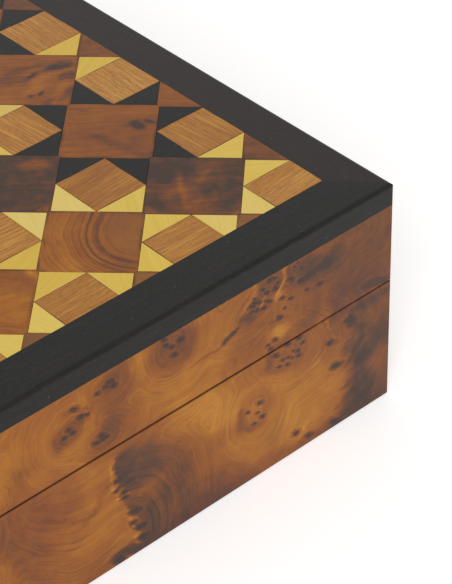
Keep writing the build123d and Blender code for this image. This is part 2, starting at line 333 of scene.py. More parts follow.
# Clouds of lighter and darker wood, a mottle, and a brown halo with a paler rim round each eye
cloud = n.noise(place, 19.0, 3.0, 0.55)
mottle = n.noise(place, 2.6, 3.0, 0.6)
tone = n.times_plus(n.minus(cloud, 0.5), 0.50, shade)
blotchy = n.step(shade, 0.35, 0.95, 0.20, 0.46)
tone = n.times_plus(n.minus(mottle, 0.5), blotchy, tone)
banding = n.times(given["Ring strength"], 0.34)
tone = n.times_plus(n.minus(broad, 0.5), banding, tone)
tone = n.times_plus(n.minus(fine, 0.5), 0.42, tone)
tone = n.times_plus(n.step(eye, 3.6, 1.2), 0.20, tone)
rim = n.times(n.step(eye, 1.3, 1.9), n.step(eye, 3.0, 2.1))
tone = n.times_plus(rim, -0.17, tone, clamp=True)
wood = n.ramp(
    tone,
    [
        (0.00, shown(190, 130, 42)),
        (0.20, shown(168, 105, 24)),
        (0.40, shown(147, 84, 19)),
        (0.58, shown(127, 69, 21)),
        (0.78, shown(98, 57, 28)),
        (1.00, shown(62, 42, 32)),
    ],
)
lines = n.times(ring, patchy)
wood = n.mix(n.times(lines, banding), wood, shown(62, 30, 20))

# Eyes: a dark bud with a ragged edge
ragged = n.times_plus(n.minus(n.noise(place, 0.8, 2.0), 0.5), 1.3, eye)
bud = n.step(ragged, 1.25, 0.50)
wood = n.mix(n.times(bud, 0.88), wood, shown(54, 36, 31))
n.feed(wanted["Color"], wood)
print(f"burl figure: {len(n.tree.nodes)} nodes")

# %% [markdown]
# ## Varnish
#
# The finish lies over all of it: a thin satin varnish, rubbed down by hand. It is nearly flat, so its bump
# is faint, and it doesn't follow the figure below. A coat on the shader could show it, but a coat is clear
# and glassy, and rubbed varnish is not, so the roughness of the wood itself changes a little from place to
# place.

# %% Satin varnish
varnish_ior = 1.31

n, given, wanted = new_group(
    "satin_varnish",
    {"Position": ("Vector", (0, 0, 0)), "Gloss": ("Float", 0.3)},
    {"Roughness": "Float", "Height": "Float"},
)
smears = n.noise(given["Position"], 22.0, 3.0, 0.6)
n.feed(wanted["Roughness"], n.times_plus(n.minus(smears, 0.5), 0.22, given["Gloss"]))
n.feed(wanted["Height"], n.noise(given["Position"], 1.7, 2.0, 0.5))


def varnished(n, shader, place):
    """Gives a shader the satin varnish: its roughness, its faint bump and how strongly it reflects."""
    varnish = n.group("satin_varnish", {"Position": place, "Gloss": 0.30})
    n.feed(shader["Roughness"], varnish["Roughness"])
    n.feed(shader["Normal"], bump(n, varnish["Height"], 0.02, 0.4))
    shader["IOR"].default_value = varnish_ior


print(f"satin varnish: {len(n.tree.nodes)} nodes")

# %% [markdown]
# ## Clusters of buds, scattered
#
# Nobody places every bud of a whole box by hand. A Voronoi texture scatters the clusters: each cell is one
# cluster, its distance gives the growth lines, and a second, much finer Voronoi gives the eyes, kept only
# near the middle of a cell. Noise above a threshold would scatter spots too, but it gives no distance to
# circle.

# %% Scattered clusters
n, given, wanted = new_group(
    "scattered_clusters",
    {"Position": ("Vector", (0, 0, 0)), "Spacing": ("Float", 34.0), "Reach": ("Float", 9.0)},
    {"Distance": "Float", "Eye": "Float", "Shade": "Float"},
)
place, spacing, reach = (given[label] for label in ("Position", "Spacing", "Reach"))
bent = n.vector("ADD", place, n.shift(place, 20.0, 1.0, 9.0))
frequency = n.math("DIVIDE", 1.0, spacing)
settings = {"voronoi_dimensions": "2D", "feature": "SMOOTH_F1"}
values = {"Vector": bent, "Scale": frequency, "Smoothness": 0.35, "Randomness": 0.75}
cluster_distance = n.times(n.add("ShaderNodeTexVoronoi", settings, values), spacing)
chance, darkness, size = n.split(n.cells(bent, frequency, 0.75, "2D", output=1))
reach = n.times(reach, n.times_plus(size, 0.75, 0.50))

# Eyes a little longer than high, on cells of this spacing in millimetres
bud_spacing, bud_squeeze = 2.4, 0.72
squeezed = n.mapped(place, turn=(0, 0, radians(-24)), size=(bud_squeeze, 1.25, 1))
bud_distance = n.times(n.cells(squeezed, 1 / bud_spacing, dimensions="2D"), bud_spacing / bud_squeeze)
size_noise = n.noise(place, 5.0, 1.0)
strayed = n.times_plus(n.minus(n.noise(place, 7.5, 1.0), 0.5), 15.0, cluster_distance)
outside = n.step(strayed, n.times(reach, 0.40), reach, 0.0, 6.0)
missing = n.step(chance, 0.66, 0.70, 0.0, 6.0)
eye = n.plus(n.plus(bud_distance, outside), n.times_plus(size_noise, 2.2, -0.8))
n.feed(wanted["Distance"], cluster_distance)
n.feed(wanted["Eye"], n.plus(eye, missing))

# Darker wood round each cluster, and broad zones of it elsewhere
near = n.step(cluster_distance, n.times(reach, 1.2), n.times(reach, 0.4))
near_shade = n.times(near, n.times_plus(darkness, 0.40, 0.02))
broadly = n.noise(n.mapped(place, turn=(0, 0, 0.6), size=(0.7, 1.1, 1)), 42.0, 4.0, 0.55)
zone = n.step(broadly, 0.51, 0.60, -0.06, 0.26)
n.feed(wanted["Shade"], n.plus(near_shade, zone))
print(f"scattered clusters: {len(n.tree.nodes)} nodes")

# %% [markdown]
# ## The front of the box
#
# The front is the show side, so its clusters are set out one by one, as a cabinet maker chooses where to
# cut the plank. Lid and base were sawn from one piece, and one pattern in the plane of the front runs
# across the seam. Each eye is an ellipse: a point is measured along the ellipse's own two axes, in its own
# half lengths, and the length of those two numbers is 1 on the rim. A Mapping node could do it, but Cycles
# keeps the results of all such nodes at once and has room for only 255 numbers, where vector arithmetic is
# used up as it goes.

# %% Ellipses
def spread(n, vector):
    """A vector's x, and its y, each as a vector of three equal parts."""
    x, y, _ = n.split(vector)
    return n.scaled((1, 1, 1), x), n.scaled((1, 1, 1), y)


def reach_of(n, place, x, z, width, height, turn=0.0):
    """How far a spread point is from an ellipse's middle, as a share of the way to its rim: the length of
    (c dx + s dz) / width and (c dz - s dx) / height, where c and s are the cosine and sine of the turn."""
    along, up = place
    c, s = cos(radians(turn)), sin(radians(turn))
    start = (-(c * x + s * z) / width, (s * x - c * z) / height, 0)
    part = n.vector("MULTIPLY_ADD", up, (s / width, c / height, 0), start)
    whole = n.vector("MULTIPLY_ADD", along, (c / width, -s / height, 0), part)
    return n.vector("LENGTH", whole)


def nearest(n, values, smoothness=0.0):
    """The smallest of several values, rounded off where two are alike. Each value's nodes are made just
    before they are compared."""
    least = None
    for value in values:
        if least is None:
            least = value
        elif smoothness:
            least = n.math("SMOOTH_MIN", least, value, smoothness)
        else:
            least = n.math("MINIMUM", least, value)
    return least


print("a point on an ellipse's rim is 1 half length from its middle")

# %% Buds of the front, in millimetres: along the front from its middle, up from the underside, half length
lid_buds = [
    (35.5, 62.2, 1.0),
    (37.6, 58.4, 1.0),
    (39.0, 58.0, 0.7),
    (33.5, 56.5, 0.8),
    (34.4, 54.8, 0.7),
    (31.8, 54.8, 0.7),
    (43.0, 62.7, 0.8),
    (45.8, 63.3, 0.7),
    (47.2, 64.1, 0.8),
    (48.3, 62.2, 0.9),
    (43.2, 48.6, 0.9),
    (41.5, 46.9, 0.9),
    (43.4, 47.1, 0.9),
    (44.6, 47.3, 0.7),
    (70.7, 64.6, 0.8),
    (66.0, 65.2, 0.8),
    (67.8, 63.6, 0.8),
    (68.5, 60.4, 0.9),
    (65.2, 67.4, 0.7),
    (106.2, 58.3, 0.8),
    (109.4, 56.5, 0.7),
    (107.2, 54.4, 0.6),
    (105.2, 52.3, 0.8),
    (103.5, 45.5, 0.9),
    (100.9, 45.0, 0.8),
    (101.8, 43.1, 0.7),
    (115.4, 56.3, 0.7),
    (120.2, 55.6, 0.8),
    (113.2, 60.5, 0.8),
    (109.3, 63.0, 0.9),
    (104.0, 62.7, 0.7),
    (95.4, 61.3, 0.9),
    (96.8, 62.0, 1.0),
    (98.2, 61.2, 0.7),
    (97.4, 59.2, 0.8),
    (95.2, 59.7, 0.6),
    (99.5, 58.5, 0.7),
    (101.7, 59.8, 0.7),
    (100.2, 60.6, 0.5),
    (99.4, 64.8, 0.6),
    (101.0, 63.2, 0.6),
    (102.1, 67.1, 0.7),
    (96.4, 63.6, 0.5),
]
base_buds = [
    (103.8, 39.8, 0.9),
    (108.0, 41.2, 0.8),
    (112.2, 41.2, 0.8),
    (113.8, 38.6, 0.8),
    (106.2, 36.9, 0.7),
    (105.2, 35.0, 0.6),
    (108.3, 36.6, 0.6),
    (109.8, 35.8, 0.6),
    (111.8, 36.8, 0.7),
    (108.0, 34.3, 0.7),
    (112.3, 34.8, 0.9),
    (110.2, 37.6, 0.5),
    (47.2, 29.9, 1.1),
    (46.7, 26.8, 0.8),
    (49.0, 25.0, 0.8),
    (51.5, 27.5, 0.9),
    (49.5, 22.8, 0.9),
    (52.5, 15.8, 1.3),
    (51.5, 12.2, 0.9),
    (53.0, 9.3, 1.0),
    (55.0, 9.0, 0.8),
    (54.7, 4.8, 1.2),
    (46.5, 1.2, 1.3),
    (97.6, 26.6, 1.0),
    (93.2, 25.6, 0.7),
    (96.8, 23.4, 0.7),
    (98.6, 21.0, 0.9),
    (95.4, 20.3, 0.7),
    (124.0, 32.6, 0.9),
    (126.3, 23.0, 1.5),
    (111.0, 7.2, 1.3),
    (116.0, 3.4, 1.2),
    (125.8, 2.4, 0.9),
]

# Clusters that the growth lines circle: along, up, half width, half height, turn in degrees, and how fast the
# lines of others take over
front_clusters = [
    (34, 56, 4, 4, 0, 1.0),
    (46, 64, 4, 3, 0, 1.0),
    (43.5, 47.5, 3, 2, 0, 1.1),
    (68, 64, 4, 4, 0, 0.9),
    (98, 62, 6, 3, 25, 1.0),
    (107, 55, 2, 4, 0, 1.6),
    (107, 38.5, 6, 4, -20, 1.2),
    (50, 8, 3, 3.7, 0, 0.75),
    (96, 24, 3, 4, 0, 1.6),
    (122, 66, 10, 4, 0, 1.0),
]

# Crowds of tiny buds, in the same way
front_crowds = [
    (102.0, 65.0, 4.0, 2.4, 15),
    (111.0, 65.5, 2.4, 2.4, 0),
]

# Darker (+) and paler (-) wood, and two of painted shade along the bottom edge: along, up, half width,
# half height, turn in degrees, how much, how soft
front_shades = [
    (32.5, 55, 4.5, 4, 35, 0.28, 0.5),
    (30, 53.6, 1.6, 2.4, 40, 0.14, 0.6),
    (38, 58.3, 3.6, 2.6, 0, 0.20, 0.4),
    (35, 62.3, 3, 2, 0, 0.18, 0.6),
    (47.5, 61.5, 7.5, 7.5, 0, 0.18, 0.45),
    (49.5, 64.5, 4.5, 4, 0, 0.14, 0.6),
    (52, 53, 5, 7, 10, 0.12, 0.6),
    (45, 47.8, 6, 4.5, 30, 0.20, 0.6),
    (47.4, 49, 2.6, 4, 20, 0.16, 0.6),
    (56, 45, 8, 6, 20, 0.12, 0.8),
    (69, 63, 8.5, 6.5, 0, 0.24, 0.35),
    (72, 63, 4, 5, 0, 0.10, 0.6),
    (98, 62, 8.5, 5, 32, 0.20, 0.3),
    (103, 66, 6, 3, 0, 0.12, 0.5),
    (93.4, 58.6, 3, 1.4, -30, 0.18, 0.6),
    (106.2, 64, 4.6, 0.7, 60, -0.42, 0.8),
    (94.6, 64, 5.6, 0.8, 50, -0.30, 0.8),
    (104.8, 60.3, 2.8, 1.2, -10, -0.26, 0.7),
    (98.6, 59.9, 0.5, 1.5, -20, -0.30, 0.7),
    (99.2, 62.6, 0.5, 1.6, -50, -0.30, 0.7),
    (88.5, 55.4, 2.6, 1.0, 24, 0.60, 0.6),
    (80, 53.6, 8, 0.5, 4, 0.26, 0.9),
    (103, 52, 4, 0.8, -14, 0.20, 0.8),
    (112, 63, 6, 5, 0, 0.14, 0.6),
    (117, 61, 8, 1.4, 6, 0.20, 0.8),
    (124, 62.5, 4, 2, 20, 0.10, 0.8),
    (116, 64.5, 6, 2.4, -10, 0.10, 0.8),
    (134, 58, 27, 20, 0, 0.34, 0.4),
    (133, 46, 18, 6, 0, 0.10, 0.8),
    (121.6, 47, 2.2, 5, 8, -0.20, 0.7),
    (106.5, 38.5, 8, 6, -20, 0.16, 0.4),
    (101.6, 38.5, 1.6, 4, -10, 0.16, 0.6),
    (99, 45, 10, 5, 0, 0.10, 0.8),
    (95.3, 24.6, 6.2, 6.8, 0, 0.28, 0.30),
    (96.6, 23.8, 4.2, 4.6, 0, -0.26, 0.6),
    (91.6, 25.5, 1.8, 4.4, 8, 0.12, 0.6),
    (96, 19.4, 4, 1.0, -8, 0.12, 0.6),
    (22, 16, 12, 28, 12, 0.22, 0.7),
    (84, 4, 14, 9, -10, 0.18, 0.7),
    (142.5, 44.2, 5.5, 1.8, 0, 0.46, 0.5),
    (126.4, 23, 2.4, 1.0, -10, 0.30, 0.6),
    (124, 32.4, 2.2, 1.2, -20, 0.20, 0.6),
    (125.5, 33, 5, 10, 0, 0.16, 0.5),
    (112, 1.5, 8, 2.6, -8, 0.20, 0.8),
    (78, 47, 24, 6, -6, -0.06, 0.7),
    (78, 36, 20, 6, -32, -0.14, 0.6),
    (112, 17, 15, 14, 0, -0.10, 0.5),
    (57, 65, 4, 6, 0, -0.12, 0.7),
    (28, 46, 8, 4, 0, -0.10, 0.7),
    (104.8, 47.0, 3.6, 1.8, -14, -0.30, 0.6),
    (36, 37, 12, 4, -8, -0.06, 0.8),
    (41.5, 27.5, 6, 1.2, 44, 0.12, 0.8),
    (37, 23, 6, 1.4, 36, 0.08, 0.8),
    (45.2, 32.0, 0.6, 2.6, 0, -0.20, 0.7),
    (46.6, 28.3, 1.2, 0.6, -20, -0.26, 0.6),
    (48.2, 23.9, 1.4, 0.5, -20, -0.24, 0.6),
    (51.2, 24.0, 1.8, 0.6, 20, -0.26, 0.6),
    (51.6, 13.6, 2.0, 0.6, -20, -0.26, 0.6),
    (52.0, 10.7, 1.6, 0.5, -30, -0.26, 0.6),
    (52.0, 6.8, 1.8, 0.7, -10, -0.18, 0.6),
    (49.5, 2.6, 5.4, 1.9, -8, 0.36, 0.25),
    (28, 35, 8, 10, 0, 0.13, 0.6),
    (33, 10, 8, 8, 0, -0.13, 0.6),
    # Painted shade: these two darken the front along its bottom edge
    (66, 0, 34, 5, 0, 0.26, 0.6),
    (124, 0, 18, 5, 0, 0.13, 0.6),
    (62, 10, 10, 7, 0, 0.08, 0.6),
    (74, 22, 6, 12, 20, 0.14, 0.6),
    (93, 12, 7, 7, 0, -0.16, 0.6),
    (98, 31, 7, 3.4, 0, -0.12, 0.6),
    (97, 51, 9, 6, 30, 0.15, 0.6),
    (116, 45, 4.5, 3.5, 0, 0.12, 0.6),
    (116, 33, 5, 4, 0, 0.11, 0.6),
    (129, 58, 9, 5, 0, 0.12, 0.6),
    (133, 33, 4.5, 3.5, 0, 0.12, 0.6),
    (69, 51, 6, 3.5, 0, -0.12, 0.6),
    (122.6, 39.6, 3.4, 0.22, -68, -0.24, 0.8),
    (125.2, 33.8, 2.4, 0.20, -50, -0.20, 0.8),
]

# Redder wood, in the same way
front_reds = [
    (136, 47, 13, 7, 0, 0.22, 0.5),
    (26, 36, 9, 12, 0, 0.25, 0.5),
    (80, 2, 24, 5, 0, 0.25, 0.5),
]

# The same, only right of the line of buds on the base
swirl_shades = [
    (49, 9, 24, 30.5, 0, 0.17, 0.12),
    (51, 5, 28, 33, 0, 0.13, 0.28),
    (76, 4, 10, 9, -20, 0.12, 0.8),
    (52, 31, 10.5, 7, -25, 0.20, 0.4),
    (49, 34, 5, 4.5, 0, 0.14, 0.5),
    (57, 10, 4, 10, 8, 0.06, 0.6),
    (68, 8, 6, 8, 0, -0.10, 0.6),
    (57, 22.5, 3.4, 2, 0, -0.16, 0.7),
    (76, 8, 8, 9, 0, -0.10, 0.6),
]

# Its rings: how far out along the front, half width and how dark
swirl_rings = [
    (8.6, 0.5, 0.14),
    (10.6, 0.4, 0.10),
    (13.5, 0.6, 0.12),
    (16.0, 0.5, 0.12),
    (19.0, 0.6, 0.12),
    (21.5, 0.5, 0.09),
    (24.0, 0.5, 0.06),
    (27.0, 0.5, 0.05),
]

# The same, at the dark right end of the base
end_shades = [
    (136, 10, 6, 5, -30, 0.22, 0.6),
    (142, 4, 8, 5, 0, 0.12, 0.6),
    (137, 20, 4, 3, -10, 0.22, 0.6),
    (130.5, 36, 3.4, 3, 0, 0.26, 0.6),
    (134.5, 26.5, 3, 2.4, 30, 0.18, 0.6),
    (136, 31, 3, 1.6, 0, 0.14, 0.6),
    (144, 26, 5, 4, 0, 0.12, 0.6),
    (143, 15.5, 4, 4, 0, -0.16, 0.6),
    (141, 37, 7, 4, 0, -0.10, 0.8),
]
print(f"{len(lid_buds) + len(base_buds)} buds, {len(front_clusters)} clusters, {len(front_shades)} shades")

# %% [markdown]
# ## The front's figure, put together
#
# The front gives the burl the same values as the scattered clusters do: how far the nearest cluster is, how
# far the nearest eye, and how dark the wood. Each is the least or the sum of what its ellipses give, at a
# point that noise has first moved a little, so that no edge is a clean curve. Painting a mask by hand would
# do the same, but a mask is an image, and these lists can be read and changed.

# %% Eyes of the front
n, given, wanted = new_group(
    "front_pattern",
    {"Position": ("Vector", (0, 0, 0))},
    {
        "Distance": "Float",
        "Eye": "Float",
        "Shade": "Float",
        "Smoke": "Float",
        "Red": "Float",
        "Ring strength": "Float",
    },
)
place = given["Position"]
shaken = n.vector("ADD", place, n.shift(place, 2.2, 2.0, 1.6))
drift = n.shift(place, 9.0, 3.0, 7.0)
drifted = spread(n, n.vector("ADD", place, drift))

# Each eye is longer than high and tipped down to the right
eye_length, eye_height, eye_tip = 1.22, 0.72, -20
spread_out = spread(n, shaken)
eyes = (
    reach_of(n, spread_out, x, z, eye_length * size, eye_height * size, eye_tip)
    for x, z, size in lid_buds + base_buds
)
eye = nearest(n, eyes)

# Crowds: a fine Voronoi whose cells count only inside an ellipse
crowd = nearest(n, (reach_of(n, drifted, *ellipse) for ellipse in front_crowds))
crowd_spacing = 1.6
crowd_eye = n.cells(n.mapped(shaken, turn=(0, 0, 0.25), size=(0.8, 1.2, 0.2)), 1 / crowd_spacing, 0.95)
crowd_eye = n.plus(n.times(crowd_eye, 3.5), n.step(crowd, 0.7, 1.15, 0.0, 4.0))
n.feed(wanted["Eye"], n.math("MINIMUM", eye, crowd_eye))
print(f"eyes of the front: {len(n.tree.nodes)} nodes")

# %% Growth lines of the front
# Growth lines circle the clusters. Left of the line of buds they sag down to it from the upper left, and end
# in flames between the buds.
gently = n.vector("ADD", place, n.scaled(drift, 0.30))
x, z, _ = n.split(gently)
gently = spread(n, gently)


def distance_from(n, place, x, z, width, height, turn, steepness):
    """About how many millimetres a spread point is from an ellipse's rim, times the steepness."""
    mean = steepness * (width + height) / 2
    return n.times_plus(reach_of(n, place, x, z, width, height, turn), mean, -mean)


circling = nearest(n, (distance_from(n, gently, *cluster) for cluster in front_clusters), 4.0)
sag_middle = 38.0
short_of = n.math("MAXIMUM", n.minus(sag_middle, x), 0.0)
past = n.math("MAXIMUM", n.minus(x, sag_middle), 0.0)
rising = n.times_plus(n.times(short_of, short_of), -0.025, z)
sagging = n.times_plus(past, -0.16, rising)
flames = n.minus(n.noise(n.mapped(place, size=(0.25, 1, 1)), 2.8, 2.0, 0.6), 0.5)
below = n.math("MAXIMUM", n.minus(31.0, z), 0.0)
bud_line = n.times_plus(below, 0.27, n.times_plus(flames, 9.0, 46.4))
beside = n.minus(x, bud_line)
left_part = n.times(n.step(beside, 0.7, -0.7), n.step(z, 42.5, 38.0))
n.feed(wanted["Distance"], n.between(left_part, circling, sagging))
print(f"with growth lines: {len(n.tree.nodes)} nodes")

# %% Shades of the front, with sharp ends at the line of buds
def shaded(n, place, total, shades):
    """Adds shades to a total, one ellipse after another, at a spread point."""
    for x, z, width, height, turn, amount, soft in shades:
        reach = reach_of(n, place, x, z, width, height, turn)
        total = n.times_plus(n.step(reach, 1 + soft, 1 - soft), amount, total)
    return total


def ringed_by(n, radius, lines):
    """The shade of dark rings at some radii."""
    total = 0.0
    for line, half_width, amount in lines:
        off_line = n.math("ABSOLUTE", n.minus(radius, line))
        total = n.times_plus(n.step(off_line, half_width, 0.0), amount, total)
    return total


right_part = n.minus(1.0, left_part)
rings = ringed_by(n, reach_of(n, gently, 50, 8, 1.0, 1.22), swirl_rings)
faded = n.times(rings, n.step(n.noise(place, 9.0, 1.0), 0.34, 0.56, 0.3, 1.0))
total = n.times(shaded(n, gently, faded, swirl_shades), right_part)

# The right end of the base is dark too, with an edge torn along the slant of the grain
slanting = n.mapped(place, turn=(0, 0, radians(-40)), size=(0.35, 1, 1))
torn = n.minus(n.noise(slanting, 3.6, 2.0, 0.6), 0.5)
under = n.math("MAXIMUM", n.minus(20.0, z), 0.0)
edge = n.times_plus(n.times(under, under), 0.020, n.times_plus(torn, 15.0, x))
end_part = n.times(n.step(edge, 127.5, 134.0), n.step(z, 42.5, 39.0))
end_shade = n.times(shaded(n, drifted, 0.42, end_shades), end_part)
n.feed(wanted["Shade"], shaded(n, drifted, n.plus(total, end_shade), front_shades))
smoke = n.step(reach_of(n, gently, 55, 31, 12, 8, -30), 1.2, 0.4)
n.feed(wanted["Smoke"], n.times(smoke, right_part))
n.feed(wanted["Red"], shaded(n, drifted, 0.0, front_reds))
swirl = n.step(reach_of(n, gently, 50, 8, 36, 34), 1.1, 0.8)
strength = n.times_plus(n.times(swirl, right_part), 0.25, 0.7)
n.feed(wanted["Ring strength"], n.times_plus(left_part, 0.35, strength))
print(f"front pattern: {len(n.tree.nodes)} nodes")

# %% [markdown]
# ## Burl on the walls
#
# Base and lid walls of one side share one material, whose coordinates lie in the wall's own plane: along
# the wall, up, and out of it. The eyes run on through the thickness, as buds do. The dark line at the seam
# is partly varnish and dust gathered in the saw cut and partly painted shade. It could be left to the shadow
# in the gap alone, but the gap is far finer than a pixel from most distances, so the burl beside it is
# painted darker to stand in for that shadow.

# %% Wall materials
wall_rows = {
    "front": ((1, 0, 0), (0, 0, 1), (0, -1, 0)),
    "right": ((0, 1, 0), (0, 0, 1), (1, 0, 0)),
    "back": ((-1, 0, 0), (0, 0, 1), (0, 1, 0)),
    "left": ((0, -1, 0), (0, 0, 1), (-1, 0, 0)),
}
seam_height = mm * (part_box("base_front_wall")[1].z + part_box("lid_front_wall")[0].z) / 2
plank_step = 400
plain_shade = 0.34

for number, (side, rows) in enumerate(wall_rows.items()):
    material, n, shader = new_material(f"{side}_burl")
    place = millimetres(n, rows)
    x, z, out = n.split(place)
    flat = n.mapped(place, size=(1, 1, 0.15))
    scatter = n.group("scattered_clusters", {"Position": n.mapped(flat, place=(number * plank_step, 0, 0))})
    distance, eye, shade = scatter["Distance"], scatter["Eye"], n.plus(scatter["Shade"], plain_shade)
    rings = 0.75
    # Strength of the seam's painted shade and varnish: patchy, and on the front fading to the right
    seam_shade_and_varnish = n.step(n.noise(place, 30.0, 1.0), 0.40, 0.60, 0.40, 0.80)
    if side == "front":
        own = n.group("front_pattern", {"Position": flat})
        shown_part = n.step(x, 8.0, 20.0)
        distance = n.between(shown_part, distance, own["Distance"])
        eye = n.between(shown_part, eye, own["Eye"])
        shade = n.between(shown_part, shade, n.plus(own["Shade"], plain_shade))
        rings = n.between(shown_part, rings, own["Ring strength"])
        seam_shade_and_varnish = n.step(x, 100.0, 126.0, 0.80, 0.35)
    values = {"Position": flat, "Distance": distance, "Eye": eye, "Shade": shade, "Ring strength": rings}
    colour = n.group("burl_figure", values)["Color"]
    if side == "front":
        smoke = n.times(own["Smoke"], shown_part)
        colour = n.mix(n.times(smoke, 0.36), colour, shown(76, 52, 41))
        colour = n.mix(n.times(own["Red"], shown_part), colour, shown(112, 50, 34))
    # Painted shade of the seam gap, with varnish in the saw cut, on the outer face alone and not on
    # the rims inside it
    from_seam = n.math("ABSOLUTE", n.minus(z, seam_height))
    outer = mm * max(Vector(rows[2]).dot(corner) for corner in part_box(f"base_{side}_wall"))
    cut = n.times(n.step(from_seam, 0.65, 0.25), n.step(out, outer - 0.6, outer - 0.1))
    colour = n.mix(n.times(cut, seam_shade_and_varnish), colour, shown(44, 16, 10))
    n.feed(shader["Base Color"], colour)
    varnished(n, shader, place)
    dress(material, f"base_{side}_wall", f"lid_{side}_wall")

# %% [markdown]
# ## The marquetry
#
# Every tile was cut from a different strip of veneer, so no two carry the same figure. The tiles of one
# wood are one node, and the material finds out which tile a point is on: dividing by the pitch and rounding
# down gives the tile's column and row, and white noise turns those into the tile's own tone and its own
# piece of the pattern. A material for each tile would do the same with hundreds of materials.

# %% Tile cells
pitch = 36.0
square_side = 17.4
joint_line = 0.12
squares_a_side = 8
square_right, square_back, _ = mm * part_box("straight_grain_squares")[1]
lattice_right = square_right + joint_line / 2 - square_side / 2
lattice_front = square_back + joint_line / 2 - square_side / 2 - (squares_a_side - 1) * pitch

n, given, wanted = new_group(
    "tile_cell",
    {"Position": ("Vector", (0, 0, 0)), "Corner": ("Vector", (0, 0, 0)), "Pitch": ("Float", pitch)},
    {"Column": "Float", "Row": "Float", "Local": "Vector", "Chance": "Color"},
)
from_corner = n.vector("SUBTRACT", given["Position"], given["Corner"])
across = n.scaled(from_corner, n.math("DIVIDE", 1.0, given["Pitch"]))
cell = n.vector("FLOOR", n.vector("MULTIPLY", across, (1, 1, 0)))
column, row, _ = n.split(cell)
n.feed(wanted["Column"], column)
n.feed(wanted["Row"], row)
from_middle = n.vector("SUBTRACT", n.vector("SUBTRACT", across, cell), (0.5, 0.5, 0))
n.feed(wanted["Local"], n.scaled(from_middle, given["Pitch"]))
settings = {"noise_dimensions": "3D"}
chance = n.add("ShaderNodeTexWhiteNoise", settings, [n.vector("ADD", cell, noise_middle)], output=1)
n.feed(wanted["Chance"], chance)
print(f"squares start {lattice_right:.2f}, {lattice_front:.2f} mm from the middle")


def tile_cell(n, place, left, front, cell_pitch=pitch):
    """Square cells, one of which has its corner this far left of and in front of the middle of the front
    right square."""
    corner = (lattice_right - left, lattice_front - front, 0)
    return n.group("tile_cell", {"Position": place, "Corner": corner, "Pitch": cell_pitch})


def own_piece(n, cell, turn, far):
    """Where in a pattern a tile was cut: its points turned about its middle, then moved by chance."""
    offset = n.scaled(n.vector("SUBTRACT", cell["Chance"], noise_middle), far)
    return n.vector("ADD", n.turned(cell["Local"], turn), offset)

# %% [markdown]
# ## Straight grain
#
# Sawn along the trunk, wood shows long fibres: light and dark streaks, thin lines of late wood, and short
# pores. A wave texture gives stripes that are all alike, so the streaks come from a noise that is stretched
# along the grain, and the same noise gives a thin line wherever it crosses its middle value.

# %% Straight grain, for every plain wood
n, given, wanted = new_group(
    "straight_grain",
    {"Position": ("Vector", (0, 0, 0)), "Line": ("Float", 0.7), "Pore": ("Float", 0.16)},
    {"Streak": "Float", "Lines": "Float", "Pores": "Float", "Cloud": "Float"},
)
place = given["Position"]
wave = n.times(n.minus(n.noise(n.mapped(place, size=(0.25, 1, 1)), 9.0, 2.0), 0.5), 2.2)
x, y, z = n.split(place)
waved = n.joined(x, n.plus(y, wave), z)
lengthwise = n.mapped(waved, size=(0.030, 1, 1))
line_scale = n.math("DIVIDE", 1.0, given["Line"])
values = {"Vector": lengthwise, "Scale": line_scale, "Detail": 4.0, "Roughness": 0.62}
streak = n.add("ShaderNodeTexNoise", {}, values)
n.feed(wanted["Streak"], streak)
n.feed(wanted["Lines"], n.step(n.math("ABSOLUTE", n.minus(streak, 0.5)), 0.032, 0.004))
pore_scale = n.math("DIVIDE", 1.0, given["Pore"])
values = {"Vector": n.mapped(waved, size=(0.09, 1, 1)), "Scale": pore_scale, "Detail": 1.0, "Roughness": 0.5}
n.feed(wanted["Pores"], n.step(n.add("ShaderNodeTexNoise", {}, values), 0.62, 0.74))
n.feed(wanted["Cloud"], n.noise(n.mapped(place, size=(0.3, 1, 1)), 6.0, 2.0))


def pored(n, pores, depth, strength):
    """The normal of a wood whose pores are sunk this deep, in millimetres."""
    return bump(n, n.times(pores, -1.0), depth, strength)


print(f"straight grain: {len(n.tree.nodes)} nodes")

# %% Glue lines
glue_line = 0.50


def glued(n, place, inwards, wood, faint, dark):
    """Darkens the last half millimetre of a tile, where the glue line shows, here more and there less."""
    strength = n.step(n.noise(place, 11.0, 1.0), 0.42, 0.62, faint, dark)
    return n.mix(n.times(n.step(inwards, glue_line, 0.08), strength), wood, shown(62, 34, 20))


def inside_square(n, cell):
    """How far a point is inside a straight-grained square: half a side less the larger of |x| and |y|."""
    across, along, _ = n.split(n.vector("ABSOLUTE", cell["Local"]))
    return n.minus(square_side / 2, n.math("MAXIMUM", across, along))


def inside_diamond(n, cell):
    """How far a point is inside a burl square on its corner: (half a pitch - |x| - |y|) / sqrt(2)."""
    across, along, _ = n.split(n.vector("ABSOLUTE", cell["Local"]))
    return n.times(n.minus(pitch / 2, n.plus(across, along)), sqrt(0.5))


print(f"glue lines {glue_line} mm wide")

# %% [markdown]
# ## Squares of straight grain
#
# Each square is turned a few degrees off the line of its grain, as hand-cut squares are. The ones nearest
# the front right corner have tones of their own, each given by an ellipse like the shades of the front, and
# the others take theirs by chance.

# %% Straight-grained squares
square_tones = [
    (126, -128, 13, 13, 0, 0.20, 0.05),
    (90, -128, 13, 13, 0, -0.10, 0.05),
    (54, -128, 13, 13, 0, 0.06, 0.05),
    (90, -92, 13, 13, 0, -0.20, 0.05),
    (126, -92, 13, 13, 0, -0.08, 0.05),
    (126, -56, 13, 13, 0, 0.14, 0.05),
]
material, n, shader = new_material("straight_squares")
place = millimetres(n)
cell = tile_cell(n, place, pitch / 2, pitch / 2)
red, green, _ = n.split(cell["Chance"])
